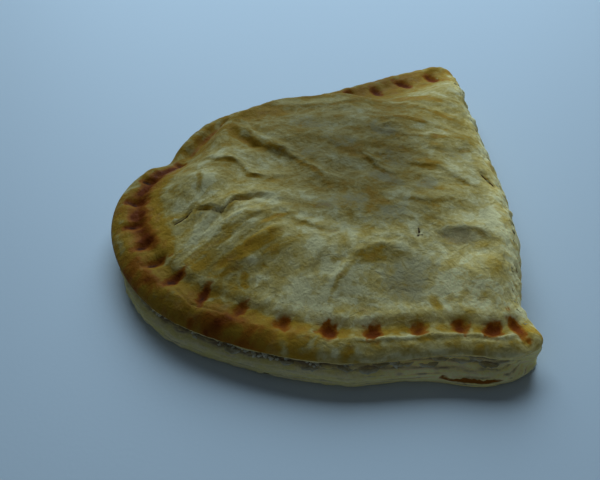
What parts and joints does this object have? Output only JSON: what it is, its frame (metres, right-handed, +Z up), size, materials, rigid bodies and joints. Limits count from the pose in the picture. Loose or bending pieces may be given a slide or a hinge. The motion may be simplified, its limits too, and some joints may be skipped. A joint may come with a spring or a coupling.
{
  "type": "pasty",
  "caption": "Baked puff-pastry pasty folded over its filling, D-shaped, with a puffed crimped edge and a row of browned dents.",
  "frame": {"origin": "Middle of the footprint's bounding box, on the plane that the pasty lies on.", "axes": "+X from the crimped nose towards the straight folded side, +Y along the fold and away from the camera of the picture, +Z up."},
  "size_m": [0.1354, 0.1604, 0.0292],
  "materials": {
    "pastry": "baked puff pastry, matt to satin, pale gold with browned crimp"
  },
  "bodies": {
    "root": {"pasty": "pastry"}
  },
  "joints": []
}
